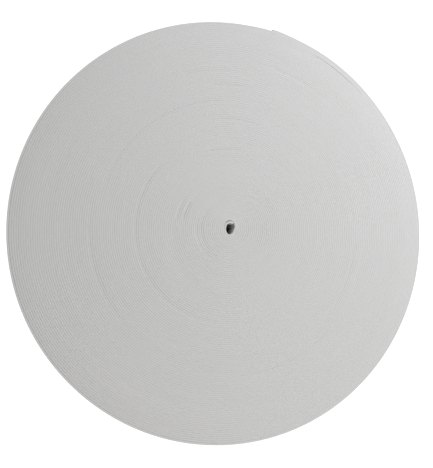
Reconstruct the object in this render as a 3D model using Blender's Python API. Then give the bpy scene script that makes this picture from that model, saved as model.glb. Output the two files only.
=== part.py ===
"""A flat roll of narrow white elastic, wound on itself with no core.

Metres, +Z up.  The roll lies on one of its flat faces: Z = 0 is that face, and the Z axis is
the axis of the winding.  Seen from above, the tape runs outward counterclockwise.
"""

import math

import bmesh
import bpy

# The tape, and the roll that 40 m of it makes
TAPE_WIDTH = 0.025
TAPE_THICKNESS = 0.0012
SOFT_EDGE = 0.0003  # how far the tape's woven edges are rounded
ROLL_RADIUS = 0.1236  # from the axis to the outer face, at the outer cut end

# The loose outer end: the last stretch of tape, which springs a little off the roll
OUTER_END = math.radians(77.2)  # its cut end, counterclockwise from +X
LOOSE_SPAN = math.radians(55.0)  # how far back from the cut end the tape is loose
PIECE_GAP = 0.0003  # between the loose end and the roll
SPRING_OFF = 0.0004  # how much further out the cut end stands

# The oval hole, and the inner cut end that curls into it
HOLE_RADIUS = 0.0025
HOLE_OVAL = 0.0005  # half the difference between its long and short radius
HOLE_LEAN = math.radians(77.0)  # the direction of its long axis
HOLE_SHIFT = 0.00055  # its centre stands off the axis ...
HOLE_SHIFT_TO = math.radians(100.0)  # ... in this direction
INNER_END = math.radians(58.0)  # the inner cut end
CURL_GAP = 0.0006  # the open slit behind the inner end
CURL_SPAN = math.radians(85.0)  # how far the slit runs round
SLIT_END = 0.0003  # its width where it closes
LIFT_FROM = math.radians(230.0)  # where the second turn starts to move outward

# The upper face: turns within each band stand level, and the bands differ slightly.
# Columns: the band's outer radius as a share of the roll's, how far it stands up.
FACE_BANDS = (
    (0.14, 0.0003),
    (0.44, 0.0),
    (0.61, 0.0002),
    (0.82, 0.0),
    (1.00, 0.00015),
)
BAND_SLOPE = 0.0018  # the width over which one band passes to the next

# Facets
ROLL_SIDES = 120
HOLE_STEP = math.radians(10.0)
END_SECTIONS = 24


def at(radius, angle, height):
    """A point given by its radius and angle about the winding's axis."""
    return (radius * math.cos(angle), radius * math.sin(angle), height)


def roll_face(angle):
    """The radius of the roll's outer face this far round, back from the outer cut end."""
    return ROLL_RADIUS - TAPE_THICKNESS * angle / math.tau


def slit_width(turned):
    """How far the second turn stands off the first, this far from the inner cut end."""
    if turned < LIFT_FROM:
        return 0.0
    if turned < math.tau:
        share = (turned - LIFT_FROM) / (math.tau - LIFT_FROM)
        return CURL_GAP * share * share * (3 - 2 * share)
    share = (turned - math.tau) / CURL_SPAN
    return SLIT_END + (CURL_GAP - SLIT_END) * (1 - share * share)


def hole_face(turned):
    """The radius of the innermost tape's inner face, this far from the inner cut end."""
    angle = INNER_END + turned
    oval = HOLE_OVAL * math.cos(2 * (angle - HOLE_LEAN))
    shift = HOLE_SHIFT * math.cos(angle - HOLE_SHIFT_TO)
    wound = TAPE_THICKNESS * turned / math.tau
    return HOLE_RADIUS + oval + shift + wound + slit_width(turned)


def hole_outline():
    """The hole seen from above: round the first turn, into the slit and back to the cut end."""
    turn_steps = round((math.tau + CURL_SPAN) / HOLE_STEP)
    back_steps = round(CURL_SPAN / HOLE_STEP)
    outline = []
    for step in range(turn_steps + 1):
        turned = (math.tau + CURL_SPAN) * step / turn_steps
        outline.append((hole_face(turned), INNER_END + turned))
    for step in range(back_steps, -1, -1):
        turned = CURL_SPAN * step / back_steps
        outline.append((hole_face(turned) + TAPE_THICKNESS, INNER_END + turned))
    return outline


def roll_outline():
    """The roll seen from above, from one side of its one-layer step round to the other."""
    outline = []
    for side in range(ROLL_SIDES + 1):
        turned = math.tau * side / ROLL_SIDES
        radius = roll_face(LOOSE_SPAN + math.tau - turned)
        outline.append((radius, OUTER_END - LOOSE_SPAN + turned))
    return outline


def face_rings():
    """The radius and height of each ring on the upper face where a band begins or ends."""
    rings = []
    for (share, height), (_, next_height) in zip(FACE_BANDS, FACE_BANDS[1:]):
        radius = share * ROLL_RADIUS
        rings.append((radius - BAND_SLOPE / 2, TAPE_WIDTH + height))
        rings.append((radius + BAND_SLOPE / 2, TAPE_WIDTH + next_height))
    return rings


def add_loop(bm, points):
    """A closed loop of edges through the points."""
    verts = [bm.verts.new(point) for point in points]
    edges = [bm.edges.new(pair) for pair in zip(verts, verts[1:] + verts[:1])]
    return verts, edges


def join_loops(bm, lower, upper):
    """A band of four-sided faces between two loops of as many points."""
    count = len(lower)
    for i in range(count):
        j = (i + 1) % count
        bm.faces.new((lower[i], lower[j], upper[j], upper[i]))


def fill_between(bm, *loops):
    """A flat face with a hole in it, between two loops of edges."""
    edges = [edge for loop in loops for edge in loop]
    bmesh.ops.triangle_fill(bm, edges=edges, use_beauty=True, normal=(0, 0, 1))


def elastic_material():
    """Matt white elastic."""
    material = bpy.data.materials.new("white_elastic")
    material.use_nodes = True
    shader = material.node_tree.nodes["Principled BSDF"]
    shader.inputs["Base Color"].default_value = (0.70, 0.70, 0.69, 1.0)
    shader.inputs["Roughness"].default_value = 0.85
    shader.inputs["Metallic"].default_value = 0.0
    return material


def finish_object(name, bm, material):
    """Closes the mesh outward, shades its round sides smooth and puts it in the scene."""
    bmesh.ops.recalc_face_normals(bm, faces=bm.faces)
    mesh = bpy.data.meshes.new(name)
    bm.to_mesh(mesh)
    bm.free()
    mesh.materials.append(material)
    mesh.shade_smooth()
    mesh.set_sharp_from_angle(angle=math.radians(30))
    part = bpy.data.objects.new(name, mesh)
    bpy.context.scene.collection.objects.link(part)
    return part


def make_wound_roll(material):
    """The whole winding as one solid, with its hole, its inner end and its one-layer step."""
    bm = bmesh.new()
    hole = hole_outline()
    middle = TAPE_WIDTH + FACE_BANDS[0][1]
    rim = TAPE_WIDTH + FACE_BANDS[-1][1]

    hole_low, hole_low_edges = add_loop(bm, [at(r, a, 0) for r, a in hole])
    hole_top, hole_top_edges = add_loop(bm, [at(r, a, middle) for r, a in hole])
    join_loops(bm, hole_low, hole_top)

    # The rim's wall, as loops from the lower face up, with both edges rounded
    wall_rows = (
        (SOFT_EDGE, 0.0),
        (0.0, SOFT_EDGE),
        (0.0, rim - SOFT_EDGE),
        (SOFT_EDGE, rim),
    )
    walls = [
        add_loop(bm, [at(r - inset, a, height) for r, a in roll_outline()])
        for inset, height in wall_rows
    ]
    for (lower, _), (upper, _) in zip(walls, walls[1:]):
        join_loops(bm, lower, upper)

    # The upper face, as rings from the hole outward
    first = OUTER_END - LOOSE_SPAN
    angles = [first + math.tau * side / ROLL_SIDES for side in range(ROLL_SIDES)]
    rings = [
        add_loop(bm, [at(radius, angle, height) for angle in angles])
        for radius, height in face_rings()
    ]
    for (inner, _), (outer, _) in zip(rings, rings[1:]):
        join_loops(bm, inner, outer)
    fill_between(bm, hole_top_edges, rings[0][1])
    fill_between(bm, rings[-1][1], walls[-1][1])
    fill_between(bm, hole_low_edges, walls[0][1])
    return finish_object("wound_roll", bm, material)


def make_loose_end(material):
    """The last stretch of tape, a curved strip that stands a little off the roll."""
    bm = bmesh.new()
    # The tape's cross-section: distance out from its inner face, height
    section = (
        (SOFT_EDGE, 0.0),
        (TAPE_THICKNESS - SOFT_EDGE, 0.0),
        (TAPE_THICKNESS, SOFT_EDGE),
        (TAPE_THICKNESS, TAPE_WIDTH - SOFT_EDGE),
        (TAPE_THICKNESS - SOFT_EDGE, TAPE_WIDTH),
        (SOFT_EDGE, TAPE_WIDTH),
        (0.0, TAPE_WIDTH - SOFT_EDGE),
        (0.0, SOFT_EDGE),
    )
    span = LOOSE_SPAN - PIECE_GAP / ROLL_RADIUS
    loops = []
    for number in range(END_SECTIONS + 1):
        back = span * (1 - number / END_SECTIONS)
        freed = (number / END_SECTIONS) ** 2
        inner = roll_face(back) - TAPE_THICKNESS + PIECE_GAP + SPRING_OFF * freed
        angle = OUTER_END - back
        loops.append(add_loop(bm, [at(inner + out, angle, z) for out, z in section]))
    for (before, _), (after, _) in zip(loops, loops[1:]):
        join_loops(bm, before, after)
    bm.faces.new(loops[0][0])
    bm.faces.new(loops[-1][0])
    return finish_object("loose_outer_end", bm, material)


for old in list(bpy.data.objects):
    bpy.data.objects.remove(old)
elastic = elastic_material()
make_wound_roll(elastic)
make_loose_end(elastic)
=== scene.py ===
"""The looks of a flat, coreless roll of white elastic.

The roll is one tape, wound outward counterclockwise as seen from above, in about a hundred
turns.  A node tree winds it: each turn is the tape itself with its rounded woven edges, a
little higher or lower than its neighbours, and a fine line opens where two turns lie slack.
A second tree winds the last turn, which shows the tape's ribbed face and ends in a cut.
A third makes the short threads that stand out of both cut ends.
"""

import math

import bpy
import numpy as np
from mathutils import Matrix, Vector


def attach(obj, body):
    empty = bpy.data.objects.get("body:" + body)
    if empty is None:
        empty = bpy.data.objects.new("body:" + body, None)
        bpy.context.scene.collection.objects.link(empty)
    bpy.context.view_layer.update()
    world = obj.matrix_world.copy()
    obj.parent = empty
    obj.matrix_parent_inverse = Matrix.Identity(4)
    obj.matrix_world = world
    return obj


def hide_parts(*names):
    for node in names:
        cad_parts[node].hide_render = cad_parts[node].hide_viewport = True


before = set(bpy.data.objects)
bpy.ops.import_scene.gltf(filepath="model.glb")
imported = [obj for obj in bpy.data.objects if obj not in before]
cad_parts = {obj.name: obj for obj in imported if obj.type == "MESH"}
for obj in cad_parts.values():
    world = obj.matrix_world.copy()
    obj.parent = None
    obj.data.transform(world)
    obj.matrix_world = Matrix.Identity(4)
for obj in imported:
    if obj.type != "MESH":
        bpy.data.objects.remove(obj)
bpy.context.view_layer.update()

# ---------------------------------------------------------------- sizes, in metres and radians

MM = 0.001
TAPE_WIDTH = 25 * MM
ROLL_RADIUS = 123.6 * MM  # from the axis to the outer face, at the outer cut end
WHOLE_TURNS = 100

# The hole, and the inner cut end that curls into it
HOLE_RADIUS = 2.3 * MM
HOLE_OVAL = 0.64 * MM  # half the difference between its long and short radius
HOLE_LEAN = math.radians(81)  # the direction of its long axis
HOLE_SHIFT = 0.84 * MM  # its centre stands off the axis ...
HOLE_SHIFT_TO = math.radians(120)  # ... in this direction
OVAL_FADES = 18  # turns over which the hole's shape dies away
INNER_END = math.radians(66)
SLIT = 0.50 * MM  # how far the second turn stands off the inner end
SLIT_MIDDLE = math.radians(36)  # from the inner end to where the slit is widest
SLIT_HALF = math.radians(64)
SLIT_FADES = 7  # turns over which the ones outside the slit close up again

# The loose outer end
OUTER_END = math.radians(77.2)
LOOSE_SPAN = math.radians(55)
SPRING_OFF = -0.10 * MM  # at the cut end, which is pressed in a little

TURNS = WHOLE_TURNS + (OUTER_END - INNER_END) / math.tau
PITCH = (ROLL_RADIUS - HOLE_RADIUS) / (TURNS + 1)

# The tape's cross-section
TAPE_THICKNESS = 1.04 * PITCH  # neighbours are pressed into each other a little
EDGE_RADIUS = 0.15 * MM  # the rounding of the tape's woven edges
LOOSER_EDGE_RADIUS = 0.20 * MM  # near the hole
RIB = 1.25 * MM  # from one lengthwise rib of the tape's face to the next
RIB_DEPTH = 0.20 * MM
RIB_FULLNESS = 0.7  # under 1 makes a rib's back broader than its groove
RIBS_END = (0.46 * TAPE_WIDTH, 0.49 * TAPE_WIDTH)  # from the tape's middle, where they fade
PICK = 0.95 * MM  # from one crosswise thread to the next
PICK_FULLNESS = 0.6
WEAVE_MARGIN = 1.0 * MM  # over which the weave's bump dies away at an edge

# The face.  The outermost turns stand on the floor, and the rest a little over it.
FACE_LIFT = 0.5 * MM
FACE_HEIGHT = TAPE_WIDTH + FACE_LIFT
RIM_TURNS = 13  # over which the face drops toward the rim
RIM_DROP = 0.52 * MM
MIDDLE_LIFT = 0.25 * MM
MIDDLE_FADES = 6  # turns
BAND_HEIGHT = 0.10 * MM  # how much bands of neighbouring turns differ
BAND_TURNS = 9.0
BAND_SPREAD = 0.7  # how fast a band changes round the roll
OWN_HEIGHT = 0.012 * MM  # how much a single turn wanders along its length
OWN_LENGTH = 110 * MM

# The roll is a little out of round, more so toward its rim
LOBES = 3
LOBE_AT = math.radians(73)
LOBE_HEIGHT = 0.22 * MM
WANDER = 0.3 * MM
WANDER_TURNS = 40.0
UNEVEN = 0.008 * MM  # how much the tape's thickness varies
UNEVEN_LENGTH = 45 * MM
# The turns under the outer end stand out in a low ridge
RIDGE = 0.42 * MM
RIDGE_HALF = math.radians(9)
RIDGE_TURNS = 12  # over which it dies away inward
WINDING_SEED = 4.0

# Slack places between turns.  Columns: share of the roll's radius, the middle of the arc
# and its half width in degrees, how far the turns stand apart, how far they are sunk.
SLACK_ARCS = (
    (0.140, 181, 66, 0.08 * MM, 0.07 * MM),
    (0.155, 200, 50, 0.06 * MM, 0.06 * MM),
    (0.226, 158, 16, 0.11 * MM, 0.09 * MM),
    (0.251, 158, 15, 0.10 * MM, 0.09 * MM),
    (0.376, 94, 16, 0.07 * MM, 0.05 * MM),
    (0.437, 194, 86, 0.07 * MM, 0.06 * MM),
    (0.525, 86, 15, 0.07 * MM, 0.05 * MM),
    (0.608, 125, 48, 0.06 * MM, 0.06 * MM),
    (0.635, 338, 18, 0.06 * MM, 0.05 * MM),
    (0.638, 196, 28, 0.07 * MM, 0.05 * MM),
    (0.682, 296, 28, 0.07 * MM, 0.05 * MM),
    (0.688, 90, 10, 0.06 * MM, 0.05 * MM),
    (0.753, 96, 14, 0.06 * MM, 0.05 * MM),
    (0.816, 66, 18, 0.06 * MM, 0.05 * MM),
    (0.971, 54.5, 12, 0.22 * MM, 0.04 * MM),
)
SLACK_FULL = 0.45  # the share of an arc's half width over which it is fully open
SLACK_FADES = 4  # turns over which the ones outside a slack place close up again

# The stretches of the winding that each become one piece.  Columns: name, first turn, last
# turn, edge radius, length of a section, points round each edge corner.
STRETCHES = (
    ("curled_in_turns", 0.0, 4.0, LOOSER_EDGE_RADIUS, 0.35 * MM, 4),
    ("inner_turns", 4.0, 22.0, LOOSER_EDGE_RADIUS, 1.1 * MM, 4),
    ("middle_turns", 22.0, 52.0, EDGE_RADIUS, 2.2 * MM, 3),
    ("outer_turns", 52.0, 79.0, EDGE_RADIUS, 2.9 * MM, 3),
    ("outermost_turns", 79.0, TURNS - 1.0, EDGE_RADIUS, 2.9 * MM, 3),
)
# The last turn, with its ribbed face
FACE_SECTION = 2.2 * MM
FACE_CORNER_POINTS = 4
FACE_POINTS = 120  # round the ribbed tape

# The threads that stand out of a cut end
THREADS = 70
THREAD_LENGTH = 0.8 * MM
THREAD_RADIUS = 0.1 * MM
SHORTEST_THREAD = 0.35  # as a share of the longest
THREAD_STRAY = 0.35  # how far a thread leans out of line, sideways and up or down
THREAD_STRAY_UP = 0.45
# One thread of unit length, which starts a little inside the tape and bends over
THREAD_BEND = {"Start": (0, 0, -0.3), "Middle": (0, 0, 0.6), "End": (0.35, 0, 1)}

# ---------------------------------------------------------------- looks

ELASTIC_WHITE = (0.702, 0.697, 0.690, 1.0)
ROUGHNESS = 0.86
FIBRE_SCALE = 2600.0
PATCH_SCALE = 22.0
TONE_LENGTH = 50 * MM  # over which the tape's own tone changes

# The white surround: as the camera sees it, and the light that reaches the roll from it
WHITE_LIGHT = 1.02
SOFT_LIGHT = 0.215
CAST_LIGHT = 0.20  # from the floor
FLOOR_SIZE = 8.0
FLOOR_SHADE = 0.25
# The floor's glow fades in from GLOW_STARTS, under the roll, to GLOW_FULL, just past its rim.
# This paints a thin contact shadow on the floor round the roll's foot.
GLOW_STARTS = 0.92 * ROLL_RADIUS  # the floor gives no light of its own further in than this
GLOW_FULL = 1.02 * ROLL_RADIUS

# Columns: name, place, size, power, colour
LAMPS = (
    ("key", (0.47, 0.37, 0.45), 0.30, 4.7, (0.975, 0.98, 1.0)),
    ("fill", (-0.02, -0.36, 0.35), 0.30, 0.50, (1.0, 1.0, 0.98)),
)

# Nearly straight over the roll, a little to its left
CAMERA_PLACE = (-81.6 * MM, -18.2 * MM, FACE_HEIGHT + 318.2 * MM)
CAMERA_TARGET = (-8.18 * MM, -2.61 * MM, FACE_HEIGHT)
CAMERA_UP = (0.006, 1, 0)
LENS = 43.61
SENSOR = 36.0

# ---------------------------------------------------------------- node trees as expressions


class Value:
    """What a node tree works out.  Arithmetic on it adds Math nodes."""

    def __init__(self, bench, socket):
        self.bench = bench
        self.socket = socket

    def math(self, operation, *others):
        return self.bench.maths(operation, self, *others)

    def __add__(self, other):
        return self.math("ADD", other)

    __radd__ = __add__

    def __mul__(self, other):
        return self.math("MULTIPLY", other)

    __rmul__ = __mul__

    def __sub__(self, other):
        return self.math("SUBTRACT", other)

    def __rsub__(self, other):
        return self.bench.maths("SUBTRACT", other, self)

    def __truediv__(self, other):
        return self.math("DIVIDE", other)

    def __rtruediv__(self, other):
        return self.bench.maths("DIVIDE", other, self)

    def __pow__(self, other):
        return self.math("POWER", other)

    def sin(self):
        return self.math("SINE")

    def cos(self):
        return self.math("COSINE")

    def abs(self):
        return self.math("ABSOLUTE")

    def sign(self):
        return self.math("SIGN")

    def nearest_whole(self):
        return self.math("ROUND")

    def over(self, limit):
        return self.math("GREATER_THAN", limit)

    def least(self, other):
        return self.math("MINIMUM", other)

    def most(self, other):
        return self.math("MAXIMUM", other)

    def fades(self, distance):
        """1 at zero, falling away over this distance."""
        return (self * (-1.0 / distance)).math("EXPONENT")

    def eased(self, start, end):
        """0 up to start, 1 from end on, and a smooth slope between."""
        sockets = {"Value": self, "From Min": start, "From Max": end}
        settings = {"interpolation_type": "SMOOTHSTEP", "clamp": True}
        return self.bench.add("ShaderNodeMapRange", sockets, settings)


class Bench:
    """Adds nodes to one node tree."""

    def __init__(self, tree):
        self.tree = tree

    def add(self, kind, sockets=(), settings=(), output=0):
        """A node of this kind.  output is the socket to go on with, or a tuple of several."""
        node = self.tree.nodes.new(kind)
        for name, value in dict(settings).items():
            setattr(node, name, value)
        for name, value in dict(sockets).items():
            if isinstance(value, Value):
                self.tree.links.new(value.socket, node.inputs[name])
            else:
                node.inputs[name].default_value = value
        if isinstance(output, tuple):
            return [Value(self, node.outputs[name]) for name in output]
        return Value(self, node.outputs[output])

    def maths(self, operation, *values):
        return self.add("ShaderNodeMath", dict(enumerate(values)), {"operation": operation})

    def feed(self, value, shader, name):
        self.tree.links.new(value.socket, shader.inputs[name])

    def point(self, x, y, z):
        return self.add("ShaderNodeCombineXYZ", {"X": x, "Y": y, "Z": z})

    def noise(self, at, detail=2.0, roughness=0.5):
        """Smooth noise from -1 to 1 along a number or about a point."""
        plain = {"Scale": 1.0, "Detail": detail, "Roughness": roughness}
        if at.socket.type == "VECTOR":
            found = self.add("ShaderNodeTexNoise", {"Vector": at, **plain})
        else:
            settings = {"noise_dimensions": "1D"}
            found = self.add("ShaderNodeTexNoise", {"W": at, **plain}, settings)
        return found * 2.0 - 1.0


class Winder(Bench):
    """A Geometry Nodes tree with named inputs, which makes one piece."""

    def __init__(self, name, inputs):
        super().__init__(bpy.data.node_groups.new(name, "GeometryNodeTree"))
        face = self.tree.interface
        face.new_socket("Geometry", in_out="OUTPUT", socket_type="NodeSocketGeometry")
        self.identifiers = {}
        for label, kind in inputs:
            socket = face.new_socket(label, in_out="INPUT", socket_type=kind)
            self.identifiers[label] = socket.identifier
        self.given = self.tree.nodes.new("NodeGroupInput")

    def input(self, label):
        return Value(self, self.given.outputs[label])

    def store(self, geometry, name, value):
        sockets = {"Geometry": geometry, "Name": name, "Value": value}
        settings = {"data_type": "FLOAT", "domain": "POINT"}
        return self.add("GeometryNodeStoreNamedAttribute", sockets, settings)

    def finish(self, geometry):
        """Realizes the instances, gives the material and makes this the tree's answer."""
        real = self.add("GeometryNodeRealizeInstances", {"Geometry": geometry})
        sockets = {"Geometry": real, "Material": self.input("Material")}
        done = self.add("GeometryNodeSetMaterial", sockets)
        answer = self.tree.nodes.new("NodeGroupOutput")
        self.tree.links.new(done.socket, answer.inputs[0])

    def make(self, name, **values):
        """A plain mesh object from this tree with these inputs."""
        piece = bpy.data.objects.new(name, bpy.data.meshes.new(name + "_start"))
        bpy.context.scene.collection.objects.link(piece)
        modifier = piece.modifiers.new("wind", "NODES")
        modifier.node_group = self.tree
        for label, value in values.items():
            modifier[self.identifiers[label.replace("_", " ")]] = value
        depsgraph = bpy.context.evaluated_depsgraph_get()
        evaluated = piece.evaluated_get(depsgraph)
        mesh = bpy.data.meshes.new_from_object(evaluated, depsgraph=depsgraph)
        piece.modifiers.remove(modifier)
        piece.data = mesh
        mesh.name = name
        mesh.shade_smooth()
        mesh.set_sharp_from_angle(angle=math.radians(60))
        return piece


# ---------------------------------------------------------------- the winding


def passage(turned, middle):
    """How many times the tape has passed this direction, and how far from it the tape is."""
    since = turned + (INNER_END - middle)
    times = (since / math.tau).nearest_whole()
    return times, (since - times * math.tau).abs()


def slack_place(turned, share, middle, half_width):
    """How far this is within a slack arc's span, from 0 to 1, and how many turns beyond it."""
    times, away = passage(turned, math.radians(middle))
    half = math.radians(half_width)
    turn = round((share * ROLL_RADIUS - HOLE_RADIUS) / PITCH)
    return 1.0 - away.eased(SLACK_FULL * half, half), times - turn


def slack_outward(turned):
    """How far the slack places inside this turn move it outward."""
    total = 0.0
    for share, middle, half_width, opening, _ in SLACK_ARCS:
        window, beyond = slack_place(turned, share, middle, half_width)
        closing = beyond.most(0.0).fades(SLACK_FADES)
        total = window * beyond.over(-0.5) * closing * opening + total
    return total


def slack_sunk(turned):
    """How far the two turns at a slack place are sunk."""
    total = 0.0
    for share, middle, half_width, _, sunk in SLACK_ARCS:
        window, beyond = slack_place(turned, share, middle, half_width)
        beside = 1.0 - (beyond + 0.5).abs().over(0.75)
        total = window * beside * sunk + total
    return total


def tape_length(turn):
    """The length of tape in this many turns, but for what the hole adds."""
    return turn * turn * (math.pi * PITCH)


def tape_radius(bench, turned, seed):
    """The radius of the tape's middle, this far round from the inner cut end."""
    turn = turned / math.tau
    angle = turned + INNER_END
    wound = HOLE_RADIUS + PITCH * (turn + 0.5)
    oval = ((angle - HOLE_LEAN) * 2.0).cos() * HOLE_OVAL
    shift = (angle - HOLE_SHIFT_TO).cos() * HOLE_SHIFT
    hole_shape = (oval + shift) * turn.fades(OVAL_FADES)
    # The slit behind the inner end opens as the second turn comes round
    _, away = passage(turned, INNER_END + SLIT_MIDDLE)
    slit = 1.0 - away.eased(0.0, SLIT_HALF)
    slit = slit * turned.over(math.pi) * (turn - 1.0).fades(SLIT_FADES) * SLIT
    lobes = ((angle - LOBE_AT) * LOBES).cos() * LOBE_HEIGHT
    round_about = bench.point(angle.cos(), angle.sin(), turn / WANDER_TURNS + seed)
    wander = bench.noise(round_about, detail=0.0) * WANDER
    out_of_round = (wander + lobes) * (turn / TURNS)
    _, away = passage(turned, OUTER_END)
    ridge = (1.0 - away.eased(0.0, RIDGE_HALF)) * (TURNS - turn).fades(RIDGE_TURNS) * RIDGE
    uneven = bench.noise(tape_length(turn) / UNEVEN_LENGTH + seed) * UNEVEN
    left = (TURNS * math.tau - turned) / LOOSE_SPAN
    sprung = (1.0 - left.least(1.0)) ** 2.0 * SPRING_OFF
    winding = wound + hole_shape + slit + slack_outward(turned)
    return winding + out_of_round + ridge + uneven + sprung


def tape_lift(bench, turned, seed):
    """How far the tape's lower edge stands over the floor."""
    turn = turned / math.tau
    angle = turned + INNER_END
    own = bench.noise(tape_length(turn) / OWN_LENGTH + (seed + 31.0)) * OWN_HEIGHT
    across = angle.cos() * BAND_SPREAD, angle.sin() * BAND_SPREAD
    banded = bench.noise(bench.point(*across, turn / BAND_TURNS + seed), detail=1.0)
    middle = turn.fades(MIDDLE_FADES) * MIDDLE_LIFT
    outermost = ((turn - (TURNS - RIM_TURNS)) / RIM_TURNS).most(0.0)
    rolled_off = outermost * outermost * RIM_DROP
    level = own + banded * BAND_HEIGHT + middle + FACE_LIFT
    return (level - slack_sunk(turned) - rolled_off).most(0.0)


def tape_section(bench, ribbed):
    """The tape's cross-section, a closed curve: X runs through the tape and Y across it."""
    sockets = {"Width": bench.input("Tape Thickness"), "Height": bench.input("Tape Width")}
    box = bench.add("GeometryNodeCurvePrimitiveQuadrilateral", sockets)
    rounding = {
        "Curve": box,
        "Radius": bench.input("Edge Radius"),
        "Count": bench.input("Edge Points"),
        "Limit Radius": True,
    }
    section = bench.add("GeometryNodeFilletCurve", rounding, {"mode": "POLY"})
    if ribbed:
        sockets = {"Curve": section, "Count": bench.input("Section Points")}
        section = bench.add("GeometryNodeResampleCurve", sockets)
        place = bench.add("GeometryNodeInputPosition")
        x, y = bench.add("ShaderNodeSeparateXYZ", {"Vector": place}, output=("X", "Y"))
        rib = (y * (math.pi / RIB)).sin().abs() ** RIB_FULLNESS
        on_face = 1.0 - y.abs().eased(*RIBS_END)
        out = (rib - 1.0) * x.sign() * on_face * RIB_DEPTH
        moved = {"Geometry": section, "Offset": bench.point(out, 0.0, 0.0)}
        section = bench.add("GeometryNodeSetPosition", moved)
    return bench.store(section, "around", bench.add("GeometryNodeInputIndex"))


def winding_tree(ribbed):
    """A tree that winds the tape from one turn to another."""
    number, whole = "NodeSocketFloat", "NodeSocketInt"
    inputs = [
        ("First Turn", number),
        ("Last Turn", number),
        ("Sections", whole),
        ("Tape Width", number),
        ("Tape Thickness", number),
        ("Edge Radius", number),
        ("Edge Points", whole),
        ("Seed", number),
        ("Material", "NodeSocketMaterial"),
    ]
    if ribbed:
        inputs.append(("Section Points", whole))
    bench = Winder("wind_ribbed_tape" if ribbed else "wind_tape", inputs)
    seed = bench.input("Seed")
    straight = {"Start": (0, 0, 0), "End": (1, 0, 0)}
    line = bench.add("GeometryNodeCurvePrimitiveLine", straight)
    stepped = {"Curve": line, "Count": bench.input("Sections")}
    line = bench.add("GeometryNodeResampleCurve", stepped)
    share = bench.add("GeometryNodeInputIndex") / (bench.input("Sections") - 1.0)
    # Equal steps along the tape: its length grows with the square of the turns, counted
    # from the axis
    hole_turns = HOLE_RADIUS / PITCH
    start = (bench.input("First Turn") + hole_turns) ** 2.0
    end = (bench.input("Last Turn") + hole_turns) ** 2.0
    turn = (start + (end - start) * share) ** 0.5 - hole_turns
    turned = turn * math.tau
    angle = turned + INNER_END
    radius = tape_radius(bench, turned, seed)
    height = tape_lift(bench, turned, seed) + bench.input("Tape Width") * 0.5
    place = bench.point(radius * angle.cos(), radius * angle.sin(), height)
    path = bench.add("GeometryNodeSetPosition", {"Geometry": line, "Position": place})
    length = (turn * turn * 0.5 + turn * hole_turns) * (math.tau * PITCH)
    path = bench.store(path, "along", length)
    path = bench.store(path, "turn", turn)
    path = bench.add("GeometryNodeSetCurveNormal", {"Curve": path}, {"mode": "Z_UP"})
    swept = {"Curve": path, "Profile Curve": tape_section(bench, ribbed), "Fill Caps": True}
    bench.finish(bench.add("GeometryNodeCurveToMesh", swept))
    return bench


def fraying_tree():
    """A tree that makes the short bent threads standing out of a cut end of the tape."""
    number, whole = "NodeSocketFloat", "NodeSocketInt"
    inputs = [
        ("Turn", number),
        ("Way Out", number),
        ("Threads", whole),
        ("Thread Length", number),
        ("Winding Seed", number),
        ("Seed", whole),
        ("Material", "NodeSocketMaterial"),
    ]
    bench = Winder("fray_cut_end", inputs)

    def random(low, high, step):
        # Sockets 2 and 3 are the lowest and highest number
        sockets = {2: low, 3: high, "Seed": bench.input("Seed") + float(step)}
        return bench.add("FunctionNodeRandomValue", sockets, {"data_type": "FLOAT"}, output=1)

    turned = bench.input("Turn") * math.tau
    angle = turned + INNER_END
    winding_seed = bench.input("Winding Seed")
    depth = TAPE_THICKNESS / 2 - THREAD_RADIUS
    radius = tape_radius(bench, turned, winding_seed) + random(-depth, depth, 1)
    share = (bench.add("GeometryNodeInputIndex") + 0.5) / bench.input("Threads")
    height = tape_lift(bench, turned, winding_seed) + share * TAPE_WIDTH
    place = bench.point(radius * angle.cos(), radius * angle.sin(), height)
    sockets = {"Count": bench.input("Threads"), "Position": place}
    points = bench.add("GeometryNodePoints", sockets)
    out = bench.input("Way Out")
    way = bench.point(
        random(-THREAD_STRAY, THREAD_STRAY, 2) - out * angle.sin(),
        random(-THREAD_STRAY, THREAD_STRAY, 3) + out * angle.cos(),
        random(-THREAD_STRAY_UP, THREAD_STRAY_UP, 4),
    )
    turn = bench.add("FunctionNodeAlignRotationToVector", {"Vector": way}, {"axis": "Z"})
    thread = bench.add("GeometryNodeCurveQuadraticBezier", {"Resolution": 5, **THREAD_BEND})
    round_section = {"Resolution": 6, "Radius": THREAD_RADIUS / THREAD_LENGTH}
    section = bench.add("GeometryNodeCurvePrimitiveCircle", round_section)
    swept = {"Curve": thread, "Profile Curve": section, "Fill Caps": True}
    thread = bench.add("GeometryNodeCurveToMesh", swept)
    placed = {
        "Points": points,
        "Instance": thread,
        "Rotation": turn,
        "Scale": bench.input("Thread Length") * random(SHORTEST_THREAD, 1.0, 5),
    }
    bench.finish(bench.add("GeometryNodeInstanceOnPoints", placed))
    return bench


# ---------------------------------------------------------------- materials


def set_sockets(shader, **values):
    for name, value in values.items():
        shader.inputs[name.replace("_", " ")].default_value = value


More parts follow.
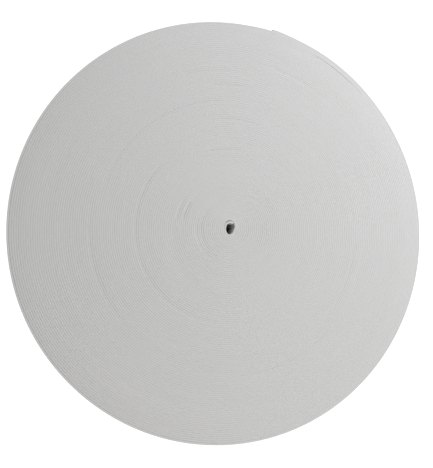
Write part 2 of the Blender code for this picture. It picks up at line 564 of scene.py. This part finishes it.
def elastic_material(name, ribbed):
    """White elastic: matt yarn, with its picks and fibres as a fine bump."""
    material = bpy.data.materials.new(name)
    material.use_nodes = True
    bench = Bench(material.node_tree)
    shader = material.node_tree.nodes["Principled BSDF"]
    set_sockets(shader, Metallic=0.0, Sheen_Weight=0.2, Sheen_Roughness=0.6)
    set_sockets(shader, Specular_IOR_Level=0.25)

    along = bench.add("ShaderNodeAttribute", settings={"attribute_name": "along"}, output="Fac")
    turn = bench.add("ShaderNodeAttribute", settings={"attribute_name": "turn"}, output="Fac")
    place = bench.add("ShaderNodeTexCoord", output="Object")
    fibres = bench.add(
        "ShaderNodeTexNoise", {"Vector": place, "Scale": FIBRE_SCALE, "Detail": 3.0}
    )
    fibres = fibres * 2.0 - 1.0
    patch = bench.add(
        "ShaderNodeTexNoise", {"Vector": place, "Scale": PATCH_SCALE, "Detail": 2.0}
    )
    patch = patch * 2.0 - 1.0
    tone = bench.noise(along / TONE_LENGTH + turn * 0.37, detail=3.0)
    shade = 1.0 + tone * 0.015 + patch * 0.012 + fibres * 0.015
    sockets = {0: ELASTIC_WHITE[:3], "Scale": shade}
    tinted = bench.add("ShaderNodeVectorMath", sockets, {"operation": "SCALE"})
    bench.feed(tinted, shader, "Base Color")
    bench.feed(ROUGHNESS + fibres * 0.06, shader, "Roughness")

    z = bench.add("ShaderNodeSeparateXYZ", {"Vector": place}, output="Z")
    # Each pick makes a row of floats, one over each rib and half a pick on from the last
    column = (z / RIB).math("FLOOR")
    picks = (along / PICK + column * 0.5).math("FRACT")
    picks = (picks * math.pi).sin().abs() ** PICK_FULLNESS
    if ribbed:
        # The weave lies on the tape's faces and dies away at its edges
        ribs = (z * (math.pi / RIB)).sin().abs()
        above_edge = z.eased(0.0, WEAVE_MARGIN)
        below_edge = 1.0 - z.eased(TAPE_WIDTH - WEAVE_MARGIN, TAPE_WIDTH)
        relief = picks * (ribs * above_edge * below_edge + 0.1) + fibres * 0.35
    else:
        relief = picks * 0.1 + fibres * 0.25
    bump = {"Height": relief, "Strength": 0.5, "Distance": 0.12 * MM}
    bench.feed(bench.add("ShaderNodeBump", bump), shader, "Normal")
    return material


def floor_material():
    """A plain white sweep that gives off some light of its own, but not under the roll. Its
    glow fades in across the roll's rim, which paints a thin contact shadow on the floor round
    the roll's foot.
    """
    material = bpy.data.materials.new("white_sweep")
    material.use_nodes = True
    bench = Bench(material.node_tree)
    shader = material.node_tree.nodes["Principled BSDF"]
    set_sockets(shader, Base_Color=(FLOOR_SHADE, FLOOR_SHADE, FLOOR_SHADE, 1), Roughness=0.9)
    set_sockets(shader, Specular_IOR_Level=0.0, Emission_Strength=1.0)
    place = bench.add("ShaderNodeTexCoord", output="Object")
    x, y = bench.add("ShaderNodeSeparateXYZ", {"Vector": place}, output=("X", "Y"))
    out = (x * x + y * y) ** 0.5
    seen = bench.add("ShaderNodeLightPath", output="Is Camera Ray")
    glow = CAST_LIGHT + (WHITE_LIGHT - CAST_LIGHT) * seen
    # Painted contact shadow: the glow fades out toward the roll, darkening the floor round its
    # foot
    glow = out.eased(GLOW_STARTS, GLOW_FULL) * glow
    colour = bench.add("ShaderNodeCombineColor", {"Red": glow, "Green": glow, "Blue": glow})
    bench.feed(colour, shader, "Emission Color")
    return material


# ---------------------------------------------------------------- pieces

# The unrolled map's rows
ROW_HEIGHT_PER_POINT = 0.25 * MM
ROW_MARGIN = 0.05  # as a share of a row's height
SIDE_MARGIN = 0.004


def read_attribute(mesh, name):
    values = np.empty(len(mesh.vertices), np.float32)
    mesh.attributes[name].data.foreach_get("value", values)
    return values


def unrolled_map(piece, points):
    """A UV map in which the tape lies unrolled in rows, one over another.

    points is how many points the tape's cross-section has.
    """
    mesh = piece.data
    corners = np.empty(len(mesh.loops), np.int32)
    mesh.loops.foreach_get("vertex_index", corners)
    first = np.array([p.loop_start for p in mesh.polygons])
    sides = np.array([p.loop_total for p in mesh.polygons])
    face_of = np.repeat(np.arange(len(mesh.polygons)), sides)
    along = read_attribute(mesh, "along")[corners]
    around = read_attribute(mesh, "around")[corners]
    # A face that closes the section runs on from its last point to its first
    furthest = np.maximum.reduceat(around, first)[face_of]
    around = np.where((furthest - around) > points / 2, around + points, around)
    low, high = along.min(), along.max()
    row_height = ROW_HEIGHT_PER_POINT * points
    rows = max(1, round(math.sqrt((high - low) / row_height)))
    middle = np.add.reduceat(along, first) / sides
    row = np.minimum((middle - low) / (high - low) * rows, rows - 1e-6).astype(int)[face_of]
    u = (along - low) / (high - low) * rows - row
    v = (row + ROW_MARGIN + (1 - 2 * ROW_MARGIN) * around / points) / rows
    layer = mesh.uv_layers.new(name="OFBake")
    uv = np.stack([SIDE_MARGIN + (1 - 2 * SIDE_MARGIN) * u, v], 1).astype(np.float32)
    layer.uv.foreach_set("vector", uv.ravel())


def sections_between(first, last, step):
    """How many sections of this length the tape has between two turns."""
    inner = HOLE_RADIUS + PITCH / 2
    length = math.tau * ((last - first) * inner + PITCH * (last**2 - first**2) / 2)
    return round(length / step) + 1


def make_wound_turns(tree, material, hole_material):
    """The turns inside the last one.  The first stretch shows the tape's face in the hole."""
    for name, first, last, edge_radius, step, edge_points in STRETCHES:
        piece = tree.make(
            name,
            First_Turn=first,
            Last_Turn=last,
            Sections=sections_between(first, last, step),
            Tape_Width=TAPE_WIDTH,
            Tape_Thickness=TAPE_THICKNESS,
            Edge_Radius=edge_radius,
            Edge_Points=edge_points,
            Seed=WINDING_SEED,
            Material=hole_material if first == 0.0 else material,
        )
        unrolled_map(piece, 4 * edge_points + 4)
        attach(piece, "root")
        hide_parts("wound_roll")


def make_last_turn(tree, material):
    """The last turn but for its loose end, then the loose end, both with the ribbed face."""
    loose_turns = LOOSE_SPAN / math.tau
    stretches = (
        ("last_turn", TURNS - 1.0, TURNS - loose_turns, "wound_roll", "wound_elastic"),
        ("loose_end", TURNS - loose_turns, TURNS, "loose_outer_end", "loose_elastic"),
    )
    for name, first, last, node, slot in stretches:
        sections = sections_between(first, last, FACE_SECTION)
        piece = tree.make(
            name,
            First_Turn=first,
            Last_Turn=last,
            Sections=sections,
            Tape_Width=TAPE_WIDTH,
            Tape_Thickness=TAPE_THICKNESS,
            Edge_Radius=EDGE_RADIUS,
            Edge_Points=FACE_CORNER_POINTS,
            Section_Points=FACE_POINTS,
            Seed=WINDING_SEED,
            Material=material,
        )
        unrolled_map(piece, FACE_POINTS)
        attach(piece, "root")
        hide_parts(node)


def make_cut_threads(tree, material):
    """The threads at the outer cut end, which point on round the roll, and at the inner one."""
    ends = (
        ("outer_cut_threads", TURNS, 1.0, 5, "loose_outer_end", "loose_elastic"),
        ("inner_cut_threads", 0.0, -1.0, 8, "wound_roll", "wound_elastic"),
    )
    for name, turn, way_out, seed, node, slot in ends:
        piece = tree.make(
            name,
            Turn=turn,
            Way_Out=way_out,
            Threads=THREADS,
            Thread_Length=THREAD_LENGTH,
            Winding_Seed=WINDING_SEED,
            Seed=seed,
            Material=material,
        )
        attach(piece, "root")
        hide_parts(node)


# ---------------------------------------------------------------- studio


def make_floor():
    bpy.ops.mesh.primitive_plane_add(size=FLOOR_SIZE)
    floor = bpy.context.object
    floor.name = "floor"
    floor.data.materials.append(floor_material())


def aim(place, target, up):
    """A turn that looks from place to target, with up at the top."""
    back = (Vector(place) - Vector(target)).normalized()
    right = Vector(up).cross(back).normalized()
    turn = Matrix((right, back.cross(right), back)).transposed().to_4x4()
    return Matrix.Translation(place) @ turn


def make_light(name, place, size, power, colour):
    lamp = bpy.data.lights.new(name, "AREA")
    lamp.shape = "DISK"
    lamp.size = size
    lamp.energy = power
    lamp.color = colour
    light = bpy.data.objects.new(name, lamp)
    light.matrix_world = aim(place, (0, 0, FACE_HEIGHT), (0, 1, 0))
    bpy.context.scene.collection.objects.link(light)


def make_camera():
    lens = bpy.data.cameras.new("camera")
    lens.lens = LENS
    lens.sensor_width = SENSOR
    lens.clip_start = 10 * MM
    camera = bpy.data.objects.new("camera", lens)
    camera.matrix_world = aim(CAMERA_PLACE, CAMERA_TARGET, CAMERA_UP)
    bpy.context.scene.collection.objects.link(camera)
    bpy.context.scene.camera = camera


def make_surround():
    """A soft even light from all round, which the camera sees as a white backdrop."""
    world = bpy.data.worlds.new("white_surround")
    world.use_nodes = True
    bench = Bench(world.node_tree)
    sky = world.node_tree.nodes["Background"]
    sky.inputs["Color"].default_value = (1.0, 0.99, 0.98, 1)
    seen = bench.add("ShaderNodeLightPath", output="Is Camera Ray")
    strength = SOFT_LIGHT + (WHITE_LIGHT - SOFT_LIGHT) * seen
    bench.feed(strength, sky, "Strength")
    return world


def make_studio():
    scene = bpy.context.scene
    scene.view_settings.view_transform = "Standard"
    scene.world = make_surround()
    for name, place, size, power, colour in LAMPS:
        make_light(name, place, size, power, colour)
    make_floor()
    make_camera()


# ---------------------------------------------------------------- the roll, put together

elastic = elastic_material("wound_elastic_yarn", ribbed=False)
ribbed_elastic = elastic_material("ribbed_elastic_yarn", ribbed=True)
make_wound_turns(winding_tree(ribbed=False), elastic, ribbed_elastic)
make_last_turn(winding_tree(ribbed=True), ribbed_elastic)
make_cut_threads(fraying_tree(), elastic)
make_studio()
